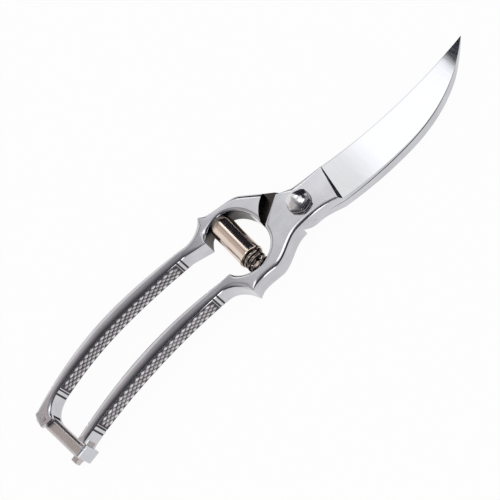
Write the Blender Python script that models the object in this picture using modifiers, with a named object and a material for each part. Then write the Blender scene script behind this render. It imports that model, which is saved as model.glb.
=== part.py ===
"""Poultry shears: two forged levers on a pivot, a sleeved opening spring and a swing latch.

Metres, +Z up. The shears lie flat and closed, the pivot axis is world Z and the blades run to +X.
"""
import math

import bmesh
import bpy
from mathutils import Matrix, Vector
from mathutils.geometry import interpolate_bezier

# fits, and how finely round shapes are cut
SEAT_GAP = 0.0003
LAP_GAP = 0.0003
EDGE_ROUND = 0.0010
ROUND_STEPS = 2
ARC_STEP = math.radians(12.0)
TURN_STEPS = 24
WELD = 1e-6
FLAT_ANGLE = 0.002
SWEEP_STEPS = 5
SHORT_SWEEP_STEPS = 3
SWEEP_REACH = 0.36
HANDLE_STEPS = 16
EDGE_STEPS = 10
BELLY_STEPS = 16

# both levers, stacked at the pivot
LEVER_HEIGHT = 0.0100
STRAP_THICK = 0.0048
GRIP_SWELL = 0.0017
PIVOT_BODY_RADIUS = 0.0092
STEP_RADIUS = 0.0194
STOP_ANGLE = math.radians(185.5)
STOP_PLAY = math.radians(1.5)
SHOULDER_END_X = -0.0070
HANDLE_ROOT_X = -0.0500

# blades, with points given from the pivot axis
BLADE_REACH = 0.1028
TIP_Y = 0.0052
SPINE_CREST = (0.0600, 0.0022)
SPINE_ROOT = (0.0020, 0.0088)
BELLY_CREST = (0.0450, -0.0155)
BELLY_ROOT = (0.0140, -0.0130)
BELLY_POWER = 2.4
REAR_EDGE_DROP = 0.0018
RICASSO_X = 0.0165
RICASSO_ANGLE = math.radians(11.0)
RICASSO_SLOPE = 0.45
SPINE_THICK = 0.0042
FRONT_GRIND = (-0.040, 0.092)
REAR_BELLY_DROP = 0.0005
REAR_TIP_DROP = 0.0012
REAR_SPINE_THICK = 0.0041
REAR_GRIND = (-0.010, 0.085)
REAR_EDGE_THICK = 0.0006
REAR_EDGE_GRIND = (0.0, 0.350)

# lower lever outline, and the headings in degrees that its curves leave and arrive at
LOWER_NECK = (-0.0047, 0.0118)
LOWER_BROW = (-0.0174, 0.0049)
LOWER_ROOT_Y = -0.0002
LOWER_CREST = (-0.0820, 0.0023)
LOWER_END = (-0.1402, -0.0063)
LOWER_END_THICK = 0.0038
LOWER_HORN = (-0.0413, -0.0158)
LOWER_HIP = (-0.0260, -0.0154)
LOWER_WAIST = (-0.0080, -0.0090)
LOWER_HORN_SWEEP = (-5.0, -68.0)
LOWER_HIP_SWEEP = (24.0, -2.0)
LOWER_WAIST_SWEEP = (8.0, 0.0)
LOWER_BLADE_SWEEP = (2.0, -20.0)

# upper lever outline
UPPER_LIMB_FOOT = (-0.0045, 0.0138)
UPPER_LIMB_TOP = (-0.0155, 0.0251)
UPPER_CROWN = (-0.0290, 0.0300)
UPPER_HORN = (-0.0367, 0.0329)
UPPER_ROOT_Y = 0.0269
UPPER_CREST = (-0.0920, 0.0307)
UPPER_END_THICK = 0.0036
UPPER_CROWN_SWEEP = (131.0, 164.0)
UPPER_HORN_SWEEP = (169.0, 143.0)
UPPER_ROOT_SWEEP = (227.0, 175.0)
UPPER_FILLET_SWEEP = (82.0, 14.0)
UPPER_SIDE_SWEEP = (-55.0, -93.0)
UPPER_BLADE_SWEEP = (-2.0, -19.0)

# spring space between the levers
SPRING_X = -0.0316
LOWER_ARCH_Y = 0.0046
LOWER_ARCH_RADIUS = 0.0134
LOWER_ARCH_ANGLES = (math.radians(-4.0), math.radians(-155.0))
UPPER_ARCH_Y = 0.0136
UPPER_ARCH_RADIUS = 0.0120
UPPER_ARCH_ANGLES = (math.radians(150.0), math.radians(35.0))
UPPER_SIDE_ANGLES = (0.0, math.radians(-29.0))
PIVOT_BODY_END = math.radians(265.0)

# pivot screw, its sleeve nut and washer
NUT_HEAD_RADIUS = 0.0066
NUT_HEAD_HEIGHT = 0.0022
NUT_SLEEVE_RADIUS = 0.0037
NUT_TOP_DROP = 0.0006
NUT_FLOOR = 0.0012
SPANNER_HOLE_RADIUS = 0.0008
SPANNER_HOLE_OFFSET = 0.0044
SPANNER_HOLE_DEPTH = 0.0010
SCREW_RADIUS = 0.0024
SCREW_LENGTH = 0.0090
HEAD_CORNER_RADIUS = 0.0060
HEAD_HEIGHT = 0.0029
HEAD_DOME_RADIUS = 0.0074
HEAD_SIDES = 6
HEAD_TURN = math.radians(-77.0)
WASHER_RADIUS = 0.0062
WASHER_THICK = 0.0006

# sleeved spring
SLEEVE_RADIUS = 0.0058
SLEEVE_WALL = 0.0004
SLEEVE_SINK = 0.0013
SLEEVE_LENGTH = 0.0216
LIP_RADIUS = 0.0060
LIP_LENGTH = 0.0010
WIRE_RADIUS = 0.0008
COIL_TURNS = 11
COIL_POINTS = 10
GUIDE_RADIUS = 0.0022
GUIDE_LENGTH = 0.0245
FOOT_RADIUS = 0.0046
FOOT_RIM = 0.00035
FOOT_ROCK_RADIUS = 0.0080
FOOT_SINK = 0.0006

# swing latch
LATCH_PIN = (-0.1474, 0.0140)
LATCH_PIN_RADIUS = 0.0016
LATCH_LEAN = math.radians(8.0)
LATCH_LOCK_TURN = math.radians(7.0)
LATCH_OPEN_TURN = math.radians(80.0)
LATCH_PLAY = math.radians(1.5)
LATCH_WIDTH = 0.0062
LATCH_THICK = 0.0054
LATCH_ROUND = 0.0008
CATCH_GAP = 0.0006
CATCH_THICK = 0.0020
CATCH_RIGHT = 0.0038
CATCH_LEFT = 0.0020
LUG_REACH = 0.0055
LUG_LENGTH = 0.0037
LUG_HEIGHT = 0.0036
KNUCKLE_WALL = 0.0002
KNUCKLE_WIDTH = 0.0064
KNUCKLE_CORNER = (0.0014, 0.0024)
KNUCKLE_RISE = 0.0022
KNUCKLE_DROP = 0.0025
KNUCKLE_SLANT = 0.0010
FILLET_REACH = 0.0080
NOTCH_DEPTH = 0.0024
NOTCH_PLAY = 0.0005

MID_Z = LEVER_HEIGHT / 2
SPRING_Z = LIP_RADIUS + SEAT_GAP
PIVOT = (0.0, 0.0)
LOWER_ARCH = (SPRING_X, LOWER_ARCH_Y)
UPPER_ARCH = (SPRING_X, UPPER_ARCH_Y)
TIP = (BLADE_REACH, TIP_Y)
REAR_TIP = (BLADE_REACH, TIP_Y - REAR_TIP_DROP)
FAR = BLADE_REACH
SLEEVE_SEAT_Y = UPPER_ARCH_Y + UPPER_ARCH_RADIUS + SLEEVE_SINK - SLEEVE_RADIUS - SEAT_GAP
FOOT_SEAT_Y = LOWER_ARCH_Y - LOWER_ARCH_RADIUS - FOOT_SINK + FOOT_ROCK_RADIUS + SEAT_GAP
FOOT_RIM_DROP = math.sqrt(FOOT_ROCK_RADIUS ** 2 - FOOT_RADIUS ** 2)
FOOT_TOP = FOOT_RIM - FOOT_RIM_DROP
HEAD_Z = LEVER_HEIGHT + WASHER_THICK + 2 * SEAT_GAP


def clear_scene():
    for old in list(bpy.data.objects):
        bpy.data.objects.remove(old, do_unlink=True)


def new_collection(name):
    group = bpy.data.collections.new(name)
    bpy.context.scene.collection.children.link(group)
    return group


def steel(name, colour, roughness):
    mat = bpy.data.materials.new(name)
    mat.use_nodes = True
    shader = mat.node_tree.nodes["Principled BSDF"]
    shader.inputs["Base Color"].default_value = (*colour, 1.0)
    shader.inputs["Roughness"].default_value = roughness
    shader.inputs["Metallic"].default_value = 1.0
    return mat


def add_object(name, mesh, mat=None):
    """Links a mesh as a part if it has a material, and as a hidden cutter if it has none."""
    obj = bpy.data.objects.new(name, mesh)
    if mat:
        mesh.materials.append(mat)
        parts.objects.link(obj)
    else:
        obj.hide_render = True
        obj.display_type = "WIRE"
        cutters.objects.link(obj)
    return obj


def boolean(obj, other, operation="DIFFERENCE"):
    mod = obj.modifiers.new(other.name, "BOOLEAN")
    mod.operation = operation
    mod.object = other


def polar(centre, radius, angle):
    return (centre[0] + radius * math.cos(angle), centre[1] + radius * math.sin(angle))


def arc(centre, radius, start, end):
    """Points of an arc from the start angle to the end angle, both ends included."""
    count = max(2, math.ceil(abs(end - start) / ARC_STEP))
    return [polar(centre, radius, start + (end - start) * i / count) for i in range(count + 1)]


def bow_run(first, crest, last, count, power=2.0):
    """Points from the first over a level crest to the last, falling there by the given power."""
    run = []
    for i in range(count + 1):
        x = first[0] + (last[0] - first[0]) * i / count
        before = (x - crest[0]) * (first[0] - crest[0]) > 0
        end = first if before else last
        share = abs((x - crest[0]) / (end[0] - crest[0])) ** (2.0 if before else power)
        run.append((x, crest[1] + (end[1] - crest[1]) * share))
    return run


def sweep(start, headings, end, count=SWEEP_STEPS):
    """A curve between two points by the headings there in degrees, without its two ends."""
    reach = SWEEP_REACH * math.dist(start, end)
    leave, arrive = (math.radians(h) for h in headings)
    knots = [start, polar(start, reach, leave), polar(end, -reach, arrive), end]
    curve = interpolate_bezier(*[Vector((*k, 0.0)) for k in knots], count + 2)
    return [(p.x, p.y) for p in curve][1:-1]


def far_edge(edge, end_thick):
    """The other edge of a strap, to the left of the given one, run backwards and swelling at the grip."""
    moved = []
    for i, point in enumerate(edge):
        before = Vector(edge[max(i - 1, 0)])
        after = Vector(edge[min(i + 1, len(edge) - 1)])
        along = (after - before).normalized()
        share = i / (len(edge) - 1)
        width = STRAP_THICK + (end_thick - STRAP_THICK) * share + GRIP_SWELL * math.sin(math.pi * share)
        moved.append((point[0] - along.y * width, point[1] + along.x * width))
    return moved[::-1]


def add_spline(curve, points, closed):
    spline = curve.splines.new("POLY")
    spline.points.add(len(points) - 1)
    for point, place in zip(spline.points, points):
        point.co = (*place, 1.0)
    spline.use_cyclic_u = closed


def mesh_of(curve):
    """The welded mesh of a curve, with flat faces in one piece."""
    source = bpy.data.objects.new(curve.name, curve)
    parts.objects.link(source)
    graph = bpy.context.evaluated_depsgraph_get()
    mesh = bpy.data.meshes.new_from_object(source.evaluated_get(graph))
    bpy.data.objects.remove(source, do_unlink=True)
    mesh.materials.clear()
    bm = bmesh.new()
    bm.from_mesh(mesh)
    bmesh.ops.remove_doubles(bm, verts=bm.verts, dist=WELD)
    bmesh.ops.dissolve_limit(bm, angle_limit=FLAT_ANGLE, verts=bm.verts, edges=bm.edges)
    bmesh.ops.recalc_face_normals(bm, faces=bm.faces)
    bm.to_mesh(mesh)
    bm.free()
    return mesh


def prism(name, outline, low, high, mat=None):
    """A closed solid on a flat outline, made from a filled and extruded curve."""
    curve = bpy.data.curves.new(name, "CURVE")
    curve.dimensions = "2D"
    curve.fill_mode = "BOTH"
    curve.extrude = (high - low) / 2
    add_spline(curve, [(*place, 0.0) for place in outline], True)
    mesh = mesh_of(curve)
    mesh.transform(Matrix.Translation((0.0, 0.0, (low + high) / 2)))
    return add_object(name, mesh, mat)


def round_rims(obj, width):
    """Rounds the rims of both flat faces."""
    bm = bmesh.new()
    bm.from_mesh(obj.data)
    weight = bm.edges.layers.float.new("bevel_weight_edge")
    for edge in bm.edges:
        if abs(edge.verts[0].co.z - edge.verts[1].co.z) < SEAT_GAP:
            edge[weight] = 1.0
    bm.to_mesh(obj.data)
    bm.free()
    mod = obj.modifiers.new("round", "BEVEL")
    mod.limit_method = "WEIGHT"
    mod.width = width
    mod.segments = ROUND_STEPS
    mod.use_clamp_overlap = False


def turned(name, profile, mat=None):
    """A round solid about local Z from (radius, height) pairs that run down its outer side."""
    mesh = bpy.data.meshes.new(name)
    edges = [(i, i + 1) for i in range(len(profile) - 1)]
    if profile[0][0] > 0.0:
        edges.append((len(profile) - 1, 0))
    mesh.from_pydata([(r, 0.0, z) for r, z in profile], edges, [])
    obj = add_object(name, mesh, mat)
    mod = obj.modifiers.new("turn", "SCREW")
    mod.steps = TURN_STEPS
    mod.render_steps = TURN_STEPS
    mod.use_merge_vertices = True
    mod.merge_threshold = WELD
    return obj


def lay_along_spring(obj, y):
    """Puts a turned piece on the spring's axis, its top towards +Y."""
    obj.rotation_euler = (-math.pi / 2, 0.0, 0.0)
    obj.location = (SPRING_X, y, SPRING_Z)


def rod(name, radius, low, high, place, mat=None, sides=TURN_STEPS):
    bm = bmesh.new()
    shift = Matrix.Translation((0.0, 0.0, (low + high) / 2))
    bmesh.ops.create_cone(bm, cap_ends=True, segments=sides, radius1=radius, radius2=radius,
                          depth=high - low, matrix=shift)
    mesh = bpy.data.meshes.new(name)
    bm.to_mesh(mesh)
    bm.free()
    obj = add_object(name, mesh, mat)
    obj.location = (*place, 0.0)
    return obj


def ball(name, radius, place):
    bm = bmesh.new()
    bmesh.ops.create_uvsphere(bm, u_segments=TURN_STEPS, v_segments=TURN_STEPS // 2, radius=radius)
    mesh = bpy.data.meshes.new(name)
    bm.to_mesh(mesh)
    bm.free()
    obj = add_object(name, mesh)
    obj.location = place
    return obj


def round_cap(radius, drop, count):
    """(radius, height) pairs of a ball's cap from a ring below its top to the axis, top first."""
    start = math.asin(min(1.0, drop / radius))
    return [(radius * math.sin(start * i / count), radius * math.cos(start * i / count))
            for i in range(count + 1)]


def belly_points(tip, drop):
    crest = (BELLY_CREST[0], BELLY_CREST[1] - drop)
    return bow_run(BELLY_ROOT, crest, tip, BELLY_STEPS, BELLY_POWER)[:-1]


def lower_strap():
    inner = bow_run((HANDLE_ROOT_X, LOWER_ROOT_Y), LOWER_CREST, LOWER_END, HANDLE_STEPS)
    return inner, far_edge(inner, LOWER_END_THICK)[:-1]


def lower_outline():
    spine = bow_run(TIP, SPINE_CREST, SPINE_ROOT, EDGE_STEPS)
    arch = arc(LOWER_ARCH, LOWER_ARCH_RADIUS, *LOWER_ARCH_ANGLES)
    inner, outer = lower_strap()
    handle = [*inner, *outer, *sweep(outer[-1], LOWER_HORN_SWEEP, LOWER_HORN), LOWER_HORN]
    hip = [*sweep(LOWER_HORN, LOWER_HIP_SWEEP, LOWER_HIP, SHORT_SWEEP_STEPS), LOWER_HIP]
    waist = [*sweep(LOWER_HIP, LOWER_WAIST_SWEEP, LOWER_WAIST), LOWER_WAIST]
    root = sweep(LOWER_WAIST, LOWER_BLADE_SWEEP, BELLY_ROOT)
    return [*spine, LOWER_NECK, LOWER_BROW, *arch, *handle, *hip, *waist, *root, *belly_points(TIP, 0.0)]


def knuckle_corner():
    return (LATCH_PIN[0] - LATCH_WIDTH / 2 - KNUCKLE_WALL, LATCH_PIN[1] + KNUCKLE_RISE)


def upper_outline():
    crest = (SPINE_CREST[0], SPINE_CREST[1] - REAR_EDGE_DROP)
    edge = bow_run(REAR_TIP, crest, (SPINE_ROOT[0], SPINE_ROOT[1] - REAR_EDGE_DROP), EDGE_STEPS)
    crown = [*sweep(UPPER_LIMB_TOP, UPPER_CROWN_SWEEP, UPPER_CROWN), UPPER_CROWN]
    horn = [*sweep(UPPER_CROWN, UPPER_HORN_SWEEP, UPPER_HORN, SHORT_SWEEP_STEPS), UPPER_HORN]
    corner = knuckle_corner()
    end = (corner[0] + KNUCKLE_CORNER[0], corner[1] + KNUCKLE_CORNER[1])
    foot = (corner[0], LATCH_PIN[1] - KNUCKLE_DROP)
    heel = (corner[0] + KNUCKLE_WIDTH, foot[1] - KNUCKLE_SLANT)
    outer = bow_run((HANDLE_ROOT_X, UPPER_ROOT_Y), UPPER_CREST, end, HANDLE_STEPS)
    inner = [p for p in far_edge(outer, UPPER_END_THICK) if p[0] > heel[0] + FILLET_REACH][:-1]
    handle = [*sweep(UPPER_HORN, UPPER_ROOT_SWEEP, outer[0]), *outer, corner, foot, heel]
    fillet = sweep(heel, UPPER_FILLET_SWEEP, inner[0])
    arch = arc(UPPER_ARCH, UPPER_ARCH_RADIUS, *UPPER_ARCH_ANGLES)
    side = arc(LOWER_ARCH, LOWER_ARCH_RADIUS, *UPPER_SIDE_ANGLES)
    limb = [*arch, *sweep(arch[-1], UPPER_SIDE_SWEEP, side[0]), *side]
    body = arc(PIVOT, PIVOT_BODY_RADIUS, STOP_ANGLE, PIVOT_BODY_END)
    root = sweep(body[-1], UPPER_BLADE_SWEEP, BELLY_ROOT)
    back = [*edge, UPPER_LIMB_FOOT, UPPER_LIMB_TOP, *crown, *horn, *handle]
    return [*back, *fillet, *inner, *limb, *body, *root, *belly_points(REAR_TIP, REAR_BELLY_DROP)]


def cut_hole(obj, name, radius, place, top=2 * LEVER_HEIGHT):
    """A round hole from below that runs clear of a pin of the given radius."""
    boolean(obj, rod(name, radius + SEAT_GAP, -LEVER_HEIGHT, top, place))


def cut_upper_lap(lever):
    """Frees the front half of the upper lever for the lower lever's pivot body and blade."""
    left = LOWER_ARCH[0] + LOWER_ARCH_RADIUS / 2
    outline = [*arc(PIVOT, STEP_RADIUS, math.pi / 2, math.pi), (left, 0.0), (left, -FAR)]
    outline += [(2 * FAR, -FAR), (2 * FAR, STEP_RADIUS)]
    boolean(lever, prism("upper_lap_cut", outline, MID_Z - LAP_GAP / 2, 2 * LEVER_HEIGHT))


def cut_lower_lap(lever):
    """Frees the rear half of the lower lever for the upper lever's body, limb and blade."""
    wall = PIVOT_BODY_RADIUS + SEAT_GAP
    stop = STOP_ANGLE + STOP_PLAY
    last = 2 * math.pi - math.acos(SHOULDER_END_X / wall)
    reach = LOWER_ARCH[0] + LOWER_ARCH_RADIUS / 2
    outline = [(SHOULDER_END_X, -FAR), (2 * FAR, -FAR), (2 * FAR, FAR), (reach, FAR)]
    outline += [(reach, reach * math.tan(stop)), *arc(PIVOT, wall, stop, last)]
    boolean(lever, prism("lower_lap_cut", outline, -LEVER_HEIGHT, MID_Z + LAP_GAP / 2))


def cut_grind(lever, name, grind, place, upward):
    """Grinds a blade's outer face to a sloping plane, with a sloping run-out at the ricasso."""
    tall = 2 * LEVER_HEIGHT
    profile = [(0.0, 0.0), (2 * FAR, 0.0), (2 * FAR, tall), (-tall * RICASSO_SLOPE, tall)]
    slab = prism(name, profile, -FAR / 2, FAR / 2)
    slope = Matrix.Rotation(RICASSO_ANGLE, 2) @ Vector(grind)
    stand = math.pi / 2 if upward else -math.pi / 2
    slab.rotation_euler = (stand + math.atan(slope.y), -math.atan(slope.x), -RICASSO_ANGLE)
    slab.location = place
    boolean(lever, slab)


def cut_latch_slot(lever):
    """The slot between the knuckle's cheeks, open wherever the latch swings."""
    reach = LATCH_WIDTH / 2 + SEAT_GAP
    lock = LATCH_LEAN + LATCH_LOCK_TURN + LATCH_PLAY
    free = LATCH_LEAN - LATCH_OPEN_TURN - LATCH_PLAY
    eye = arc(LATCH_PIN, reach, lock, math.pi + free)
    away = 2 * KNUCKLE_WIDTH
    right = LATCH_PIN[0] + away
    outline = [(right, eye[0][1]), *eye, polar(eye[-1], away, free - math.pi / 2)]
    outline += [(LATCH_PIN[0] - away, LATCH_PIN[1] - away), (right, LATCH_PIN[1] - away)]
    half = LATCH_THICK / 2 + SEAT_GAP
    boolean(lever, prism("latch_slot_cut", outline, MID_Z - half, MID_Z + half))


def make_upper_lever():
    mat = steel("upper_lever", (0.70, 0.69, 0.71), 0.30)
    lever = prism("upper_lever", upper_outline(), 0.0, LEVER_HEIGHT, mat)
    round_rims(lever, EDGE_ROUND)
    cut_upper_lap(lever)
    lap = MID_Z - LAP_GAP / 2
    cut_grind(lever, "rear_grind", REAR_GRIND, (*BELLY_ROOT, lap - REAR_SPINE_THICK), False)
    heel = (RICASSO_X, REAR_TIP[1], lap - REAR_EDGE_THICK)
    cut_grind(lever, "rear_edge_grind", REAR_EDGE_GRIND, heel, False)
    cut_hole(lever, "upper_bore", NUT_SLEEVE_RADIUS, PIVOT)
    cut_hole(lever, "nut_seat", NUT_HEAD_RADIUS, PIVOT, NUT_HEAD_HEIGHT + SEAT_GAP)
    boolean(lever, ball("sleeve_seat", SLEEVE_RADIUS + SEAT_GAP, (SPRING_X, SLEEVE_SEAT_Y, SPRING_Z)))
    cut_latch_slot(lever)
    cut_hole(lever, "latch_pin_hole", LATCH_PIN_RADIUS, LATCH_PIN)
    return lever


def make_lower_lever():
    mat = steel("lower_lever", (0.72, 0.71, 0.73), 0.28)
    lever = prism("lower_lever", lower_outline(), 0.0, LEVER_HEIGHT, mat)
    round_rims(lever, EDGE_ROUND)
    cut_lower_lap(lever)
    lap = MID_Z + LAP_GAP / 2
    cut_grind(lever, "front_grind", FRONT_GRIND, (RICASSO_X, TIP_Y, lap + SPINE_THICK), True)
    cut_hole(lever, "lower_bore", NUT_SLEEVE_RADIUS, PIVOT)
    boolean(lever, ball("foot_seat", FOOT_ROCK_RADIUS + SEAT_GAP, (SPRING_X, FOOT_SEAT_Y, SPRING_Z)))
    half = LATCH_THICK / 2 + NOTCH_PLAY
    start = LOWER_END[0] - NOTCH_DEPTH
    end = LOWER_END[0] + NOTCH_DEPTH
    strip = [(start, -FAR), (end, -FAR), (end, FAR), (start, FAR)]
    boolean(lever, prism("latch_notch", strip, MID_Z - half, MID_Z + half))
    return lever


def make_pivot():
    bore = SCREW_RADIUS + SEAT_GAP
    top = LEVER_HEIGHT - NUT_TOP_DROP
    profile = [(0.0, NUT_FLOOR), (bore, NUT_FLOOR), (bore, top), (NUT_SLEEVE_RADIUS, top)]
    profile += [(NUT_SLEEVE_RADIUS, NUT_HEAD_HEIGHT), (NUT_HEAD_RADIUS, NUT_HEAD_HEIGHT)]
    profile += [(NUT_HEAD_RADIUS, 0.0), (0.0, 0.0)]
    nut = turned("pivot_nut", profile, steel("pivot_nut", (0.60, 0.60, 0.61), 0.35))
    for side in (-1, 1):
        place = (side * SPANNER_HOLE_OFFSET, 0.0)
        boolean(nut, rod("spanner_hole", SPANNER_HOLE_RADIUS, -NUT_HEAD_HEIGHT, SPANNER_HOLE_DEPTH, place))
    low = LEVER_HEIGHT + SEAT_GAP
    high = low + WASHER_THICK
    ring = [(bore, low), (bore, high), (WASHER_RADIUS, high), (WASHER_RADIUS, low)]
    turned("pivot_washer", ring, steel("pivot_washer", (0.55, 0.54, 0.55), 0.40))
    screw = rod("pivot_screw", HEAD_CORNER_RADIUS, HEAD_Z, HEAD_Z + HEAD_HEIGHT, PIVOT,
                steel("pivot_screw", (0.76, 0.76, 0.78), 0.18), HEAD_SIDES)
    screw.rotation_euler.z = HEAD_TURN
    dome_z = HEAD_Z + HEAD_HEIGHT - HEAD_DOME_RADIUS
    boolean(screw, ball("head_dome", HEAD_DOME_RADIUS, (*PIVOT, dome_z)), "INTERSECT")
    shank = rod("screw_shank", SCREW_RADIUS, HEAD_Z - SCREW_LENGTH, HEAD_Z + HEAD_HEIGHT / 2, PIVOT)
    boolean(screw, shank, "UNION")


def make_sleeve():
    inner = SLEEVE_RADIUS - SLEEVE_WALL
    mouth = -SLEEVE_LENGTH
    profile = round_cap(SLEEVE_RADIUS, SLEEVE_RADIUS, TURN_STEPS // 4)
    profile += [(SLEEVE_RADIUS, mouth + LIP_LENGTH), (LIP_RADIUS, mouth + LIP_LENGTH), (LIP_RADIUS, mouth)]
    profile += [(inner, mouth), (inner, 0.0), (0.0, 0.0)]
    sleeve = turned("spring_sleeve", profile, steel("spring_sleeve", (0.78, 0.71, 0.65), 0.22))
    lay_along_spring(sleeve, SLEEVE_SEAT_Y)


def make_guide():
    top = FOOT_TOP + GUIDE_LENGTH
    cap = [(r, -z) for r, z in round_cap(FOOT_ROCK_RADIUS, FOOT_RADIUS, TURN_STEPS // 6)][::-1]
    profile = [(0.0, top), (GUIDE_RADIUS, top), (GUIDE_RADIUS, FOOT_TOP), (FOOT_RADIUS, FOOT_TOP), *cap]
    guide = turned("spring_guide", profile, steel("spring_guide", (0.58, 0.55, 0.53), 0.35))
    lay_along_spring(guide, FOOT_SEAT_Y)


def make_coil():
    """One unbroken wire from the sleeve's closed end to the guide's foot."""
    radius = SLEEVE_RADIUS - SLEEVE_WALL - SEAT_GAP - WIRE_RADIUS
    top = SLEEVE_SEAT_Y - SEAT_GAP - WIRE_RADIUS
    length = top - (FOOT_SEAT_Y + FOOT_TOP + SEAT_GAP + WIRE_RADIUS)
    count = COIL_TURNS * COIL_POINTS
    wire = []
    for i in range(count + 1):
        angle = 2 * math.pi * i / COIL_POINTS
        wire.append(Vector((radius * math.cos(angle), -length * i / count, radius * math.sin(angle))))
    apart = [(a - b).length for i, a in enumerate(wire) for b in wire[i + COIL_POINTS // 2:]]
    print("coil_spring least gap to itself, mm:", round((min(apart) - 2 * WIRE_RADIUS) * 1000, 3))
    curve = bpy.data.curves.new("coil_spring", "CURVE")
    curve.dimensions = "3D"
    curve.bevel_depth = WIRE_RADIUS
    curve.bevel_resolution = 1
    curve.use_fill_caps = True
    add_spline(curve, wire, False)
    coil = add_object("coil_spring", mesh_of(curve), steel("coil_spring", (0.70, 0.63, 0.58), 0.30))
    coil.location = (SPRING_X, top, SPRING_Z)


def make_latch():
    """A bar hinged in the upper knuckle, with a stepped plate that hooks over the lower handle's end."""
    lock = LATCH_LEAN + LATCH_LOCK_TURN - math.pi / 2
    held = Vector(lower_strap()[1][0]) - Vector(LATCH_PIN)
    arm = held.dot(Vector(polar(PIVOT, 1.0, lock))) + CATCH_GAP
    half = LATCH_WIDTH / 2
    end = -arm - CATCH_THICK / 2
    low = MID_Z - LATCH_THICK / 2
    bar = prism("latch_bar", [*arc(PIVOT, half, 0.0, math.pi), (-half, end), (half, end)], low,
                low + LATCH_THICK, steel("latch_bar", (0.67, 0.63, 0.62), 0.35))
    round_rims(bar, LATCH_ROUND)
    plate = [(-CATCH_LEFT, -arm - CATCH_THICK), (CATCH_RIGHT, -arm - CATCH_THICK)]
    plate += [(CATCH_RIGHT, -arm), (-CATCH_LEFT, -arm)]
    catch = prism("latch_catch", plate, 0.0, LEVER_HEIGHT)
    tail = LUG_LENGTH - arm
    block = [(-LUG_REACH, -arm), (0.0, -arm), (0.0, tail), (-LUG_REACH, tail)]
    top = low + LATCH_THICK - LATCH_ROUND
    lug = prism("latch_lug", block, top - LUG_HEIGHT, top)
    cut_hole(bar, "latch_eye", LATCH_PIN_RADIUS, LATCH_PIN)
    boolean(bar, lug, "UNION")
    boolean(bar, catch, "UNION")
    for piece in (bar, lug, catch):
        piece.location = (*LATCH_PIN, 0.0)
        piece.rotation_euler.z = LATCH_LEAN
    rod("latch_pin", LATCH_PIN_RADIUS, 0.0, LEVER_HEIGHT, LATCH_PIN,
        steel("latch_pin", (0.62, 0.60, 0.60), 0.30))


clear_scene()
parts = new_collection("poultry_shears")
cutters = new_collection("cutters")
make_upper_lever()
make_lower_lever()
make_pivot()
make_sleeve()
make_guide()
make_coil()
make_latch()
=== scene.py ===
import math

import bpy
from mathutils import Matrix, Vector
from mathutils.geometry import interpolate_bezier
from mathutils.kdtree import KDTree


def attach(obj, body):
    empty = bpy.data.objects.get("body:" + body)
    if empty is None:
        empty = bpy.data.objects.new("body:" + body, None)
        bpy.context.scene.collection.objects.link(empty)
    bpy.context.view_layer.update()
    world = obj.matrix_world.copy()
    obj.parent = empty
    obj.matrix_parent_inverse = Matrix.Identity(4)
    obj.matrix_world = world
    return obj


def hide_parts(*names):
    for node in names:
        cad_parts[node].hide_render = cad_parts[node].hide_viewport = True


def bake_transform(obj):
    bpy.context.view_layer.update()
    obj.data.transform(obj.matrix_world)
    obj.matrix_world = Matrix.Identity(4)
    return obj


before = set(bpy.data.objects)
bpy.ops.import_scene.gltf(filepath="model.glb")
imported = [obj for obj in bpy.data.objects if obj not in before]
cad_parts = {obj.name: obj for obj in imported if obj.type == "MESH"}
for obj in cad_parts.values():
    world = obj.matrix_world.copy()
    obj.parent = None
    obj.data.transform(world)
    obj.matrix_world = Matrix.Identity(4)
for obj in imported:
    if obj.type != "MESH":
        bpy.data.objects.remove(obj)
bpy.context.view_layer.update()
mm = 0.001
hair = 0.05  # in mm, places closer than this count as one
welding = 0.001  # in mm, points closer than this are merged


# modelling moves that every piece uses

def pick(obj):
    bpy.ops.object.select_all(action="DESELECT")
    obj.select_set(True)
    bpy.context.view_layer.objects.active = obj


def openMesh(obj, mode):
    pick(obj)
    bpy.ops.object.mode_set(mode="EDIT")
    bpy.ops.mesh.select_mode(type=mode)
    bpy.ops.mesh.select_all(action="DESELECT")


def closeMesh():
    bpy.ops.object.mode_set(mode="OBJECT")


def selectFaces(obj, test):
    openMesh(obj, "FACE")
    closeMesh()
    for face in obj.data.polygons:
        face.select = test(face)
    bpy.ops.object.mode_set(mode="EDIT")


def selectEdges(obj, test):
    openMesh(obj, "EDGE")
    closeMesh()
    points = obj.data.vertices
    for edge in obj.data.edges:
        edge.select = test(*[points[i].co for i in edge.vertices])
    bpy.ops.object.mode_set(mode="EDIT")


def applyModifier(obj, kind, **settings):
    pick(obj)
    modifier = obj.modifiers.new(kind.title(), kind)
    for key, value in settings.items():
        setattr(modifier, key, value)
    bpy.ops.object.modifier_apply(modifier=modifier.name)


def mergeAndFace(obj):
    openMesh(obj, "VERT")
    bpy.ops.mesh.select_all(action="SELECT")
    bpy.ops.mesh.remove_doubles(threshold=welding * mm)
    bpy.ops.mesh.delete_loose()
    bpy.ops.mesh.select_all(action="SELECT")
    bpy.ops.mesh.normals_make_consistent(inside=False)
    closeMesh()


def joinCut(obj, tool, operation="DIFFERENCE", mat=None):  # the tool is used up, its finish stays in the cut
    if mat:
        tool.data.materials.append(mat)
    applyModifier(obj, "BOOLEAN", object=tool, operation=operation, solver="EXACT",
                  material_mode="TRANSFER" if mat else "INDEX")
    bpy.data.objects.remove(tool)


def fixPlace(obj):
    pick(obj)
    bpy.ops.object.transform_apply(location=True, rotation=True, scale=True)


def smooth(obj, degrees=35.0):
    pick(obj)
    bpy.ops.object.shade_smooth_by_angle(angle=math.radians(degrees))
    applyModifier(obj, "WEIGHTED_NORMAL", keep_sharp=True)


def newShape(name, addPrimitive, **settings):
    bpy.ops.object.select_all(action="DESELECT")
    addPrimitive(**settings)
    obj = bpy.context.active_object
    obj.name = name
    return obj


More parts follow.
